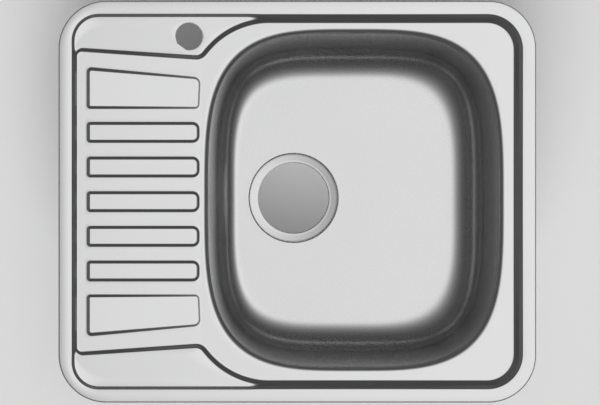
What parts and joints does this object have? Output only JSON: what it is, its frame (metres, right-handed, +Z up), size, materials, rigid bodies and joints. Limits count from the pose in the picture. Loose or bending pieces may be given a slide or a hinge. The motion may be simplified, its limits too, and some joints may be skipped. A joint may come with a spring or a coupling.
{
  "type": "kitchen sink",
  "caption": "Inset steel kitchen sink with a deep rounded bowl, a ribbed drainer, a tap ledge and swing clips that clamp its rim to a worktop.",
  "frame": {"origin": "middle of the plane in which the rim and its seal lie on the worktop", "axes": "+X from the drainer to the bowl, +Y from the front to the tap ledge, +Z up out of the worktop"},
  "size_m": [0.58, 0.488, 0.1638],
  "materials": {
    "stainless": "satin pressed stainless sheet",
    "zinc_plate": "zinc plated",
    "foam_seal": "closed-cell foam strip",
    "damping_pad": "matt damping pad",
    "black_plastic": "moulded",
    "brass": "plain"
  },
  "bodies": {
    "sink": {"deck": "stainless", "bowl": "stainless", "rim_seal": "foam_seal", "bowl_sound_pad": "damping_pad", "drainer_sound_pad": "damping_pad", "earth_tag": "stainless", "earth_screw": "brass", "earth_washer": "zinc_plate", "earth_nut": "brass", "clip_bracket_back_left": "zinc_plate", "clip_rivet_back_left": "zinc_plate", "clip_bracket_back_right": "zinc_plate", "clip_rivet_back_right": "zinc_plate", "clip_bracket_front_left": "zinc_plate", "clip_rivet_front_left": "zinc_plate", "clip_bracket_front_right": "zinc_plate", "clip_rivet_front_right": "zinc_plate", "clip_bracket_left_back": "zinc_plate", "clip_rivet_left_back": "zinc_plate", "clip_bracket_left_front": "zinc_plate", "clip_rivet_left_front": "zinc_plate", "clip_bracket_right_back": "zinc_plate", "clip_rivet_right_back": "zinc_plate", "clip_bracket_right_front": "zinc_plate", "clip_rivet_right_front": "zinc_plate"},
    "arm_back_left": {"clip_arm_back_left": "zinc_plate"},
    "tip_back_left": {"clip_tip_back_left": "black_plastic"},
    "screw_back_left": {"clip_screw_back_left": "zinc_plate"},
    "arm_back_right": {"clip_arm_back_right": "zinc_plate"},
    "tip_back_right": {"clip_tip_back_right": "black_plastic"},
    "screw_back_right": {"clip_screw_back_right": "zinc_plate"},
    "arm_front_left": {"clip_arm_front_left": "zinc_plate"},
    "tip_front_left": {"clip_tip_front_left": "black_plastic"},
    "screw_front_left": {"clip_screw_front_left": "zinc_plate"},
    "arm_front_right": {"clip_arm_front_right": "zinc_plate"},
    "tip_front_right": {"clip_tip_front_right": "black_plastic"},
    "screw_front_right": {"clip_screw_front_right": "zinc_plate"},
    "arm_left_back": {"clip_arm_left_back": "zinc_plate"},
    "tip_left_back": {"clip_tip_left_back": "black_plastic"},
    "screw_left_back": {"clip_screw_left_back": "zinc_plate"},
    "arm_left_front": {"clip_arm_left_front": "zinc_plate"},
    "tip_left_front": {"clip_tip_left_front": "black_plastic"},
    "screw_left_front": {"clip_screw_left_front": "zinc_plate"},
    "arm_right_back": {"clip_arm_right_back": "zinc_plate"},
    "tip_right_back": {"clip_tip_right_back": "black_plastic"},
    "screw_right_back": {"clip_screw_right_back": "zinc_plate"},
    "arm_right_front": {"clip_arm_right_front": "zinc_plate"},
    "tip_right_front": {"clip_tip_right_front": "black_plastic"},
    "screw_right_front": {"clip_screw_right_front": "zinc_plate"}
  },
  "joints": [
    {"name": "clip_swing_back_left", "type": "hinge", "parent": "sink", "child": "arm_back_left", "pos_m": [-0.198, 0.221, -0.038], "axis": [0, 0, 1], "range_deg": [-110, 110]},
    {"name": "clip_feed_back_left", "type": "slide", "parent": "arm_back_left", "child": "tip_back_left", "axis": [0, 0, 1], "range_m": [-0.006, 0.01]},
    {"name": "clip_turn_back_left", "type": "hinge", "parent": "tip_back_left", "child": "screw_back_left", "pos_m": [-0.198, 0.238, -0.038], "axis": [0, 0, 1], "range_deg": [-2700, 4500]},
    {"name": "clip_swing_back_right", "type": "hinge", "parent": "sink", "child": "arm_back_right", "pos_m": [0.185, 0.221, -0.038], "axis": [0, 0, 1], "range_deg": [-110, 110]},
    {"name": "clip_feed_back_right", "type": "slide", "parent": "arm_back_right", "child": "tip_back_right", "axis": [0, 0, 1], "range_m": [-0.006, 0.01]},
    {"name": "clip_turn_back_right", "type": "hinge", "parent": "tip_back_right", "child": "screw_back_right", "pos_m": [0.185, 0.238, -0.038], "axis": [0, 0, 1], "range_deg": [-2700, 4500]},
    {"name": "clip_swing_front_left", "type": "hinge", "parent": "sink", "child": "arm_front_left", "pos_m": [-0.198, -0.221, -0.038], "axis": [0, 0, 1], "range_deg": [-110, 110]},
    {"name": "clip_feed_front_left", "type": "slide", "parent": "arm_front_left", "child": "tip_front_left", "axis": [0, 0, 1], "range_m": [-0.006, 0.01]},
    {"name": "clip_turn_front_left", "type": "hinge", "parent": "tip_front_left", "child": "screw_front_left", "pos_m": [-0.198, -0.238, -0.038], "axis": [0, 0, 1], "range_deg": [-2700, 4500]},
    {"name": "clip_swing_front_right", "type": "hinge", "parent": "sink", "child": "arm_front_right", "pos_m": [0.185, -0.221, -0.038], "axis": [0, 0, 1], "range_deg": [-110, 110]},
    {"name": "clip_feed_front_right", "type": "slide", "parent": "arm_front_right", "child": "tip_front_right", "axis": [0, 0, 1], "range_m": [-0.006, 0.01]},
    {"name": "clip_turn_front_right", "type": "hinge", "parent": "tip_front_right", "child": "screw_front_right", "pos_m": [0.185, -0.238, -0.038], "axis": [0, 0, 1], "range_deg": [-2700, 4500]},
    {"name": "clip_swing_left_back", "type": "hinge", "parent": "sink", "child": "arm_left_back", "pos_m": [-0.267, 0.10525, -0.038], "axis": [0, 0, 1], "range_deg": [-110, 110]},
    {"name": "clip_feed_left_back", "type": "slide", "parent": "arm_left_back", "child": "tip_left_back", "axis": [0, 0, 1], "range_m": [-0.006, 0.01]},
    {"name": "clip_turn_left_back", "type": "hinge", "parent": "tip_left_back", "child": "screw_left_back", "pos_m": [-0.284, 0.10525, -0.038], "axis": [0, 0, 1], "range_deg": [-2700, 4500]},
    {"name": "clip_swing_left_front", "type": "hinge", "parent": "sink", "child": "arm_left_front", "pos_m": [-0.267, -0.10525, -0.038], "axis": [0, 0, 1], "range_deg": [-110, 110]},
    {"name": "clip_feed_left_front", "type": "slide", "parent": "arm_left_front", "child": "tip_left_front", "axis": [0, 0, 1], "range_m": [-0.006, 0.01]},
    {"name": "clip_turn_left_front", "type": "hinge", "parent": "tip_left_front", "child": "screw_left_front", "pos_m": [-0.284, -0.10525, -0.038], "axis": [0, 0, 1], "range_deg": [-2700, 4500]},
    {"name": "clip_swing_right_back", "type": "hinge", "parent": "sink", "child": "arm_right_back", "pos_m": [0.267, 0.10525, -0.038], "axis": [0, 0, 1], "range_deg": [-110, 110]},
    {"name": "clip_feed_right_back", "type": "slide", "parent": "arm_right_back", "child": "tip_right_back", "axis": [0, 0, 1], "range_m": [-0.006, 0.01]},
    {"name": "clip_turn_right_back", "type": "hinge", "parent": "tip_right_back", "child": "screw_right_back", "pos_m": [0.284, 0.10525, -0.038], "axis": [0, 0, 1], "range_deg": [-2700, 4500]},
    {"name": "clip_swing_right_front", "type": "hinge", "parent": "sink", "child": "arm_right_front", "pos_m": [0.267, -0.10525, -0.038], "axis": [0, 0, 1], "range_deg": [-110, 110]},
    {"name": "clip_feed_right_front", "type": "slide", "parent": "arm_right_front", "child": "tip_right_front", "axis": [0, 0, 1], "range_m": [-0.006, 0.01]},
    {"name": "clip_turn_right_front", "type": "hinge", "parent": "tip_right_front", "child": "screw_right_front", "pos_m": [0.284, -0.10525, -0.038], "axis": [0, 0, 1], "range_deg": [-2700, 4500]}
  ],
  "couplings": [
    {"joint": "clip_turn_back_left", "follows": "clip_feed_back_left", "rad_per_m": 7854},
    {"joint": "clip_turn_back_right", "follows": "clip_feed_back_right", "rad_per_m": 7854},
    {"joint": "clip_turn_front_left", "follows": "clip_feed_front_left", "rad_per_m": 7854},
    {"joint": "clip_turn_front_right", "follows": "clip_feed_front_right", "rad_per_m": 7854},
    {"joint": "clip_turn_left_back", "follows": "clip_feed_left_back", "rad_per_m": 7854},
    {"joint": "clip_turn_left_front", "follows": "clip_feed_left_front", "rad_per_m": 7854},
    {"joint": "clip_turn_right_back", "follows": "clip_feed_right_back", "rad_per_m": 7854},
    {"joint": "clip_turn_right_front", "follows": "clip_feed_right_front", "rad_per_m": 7854}
  ]
}
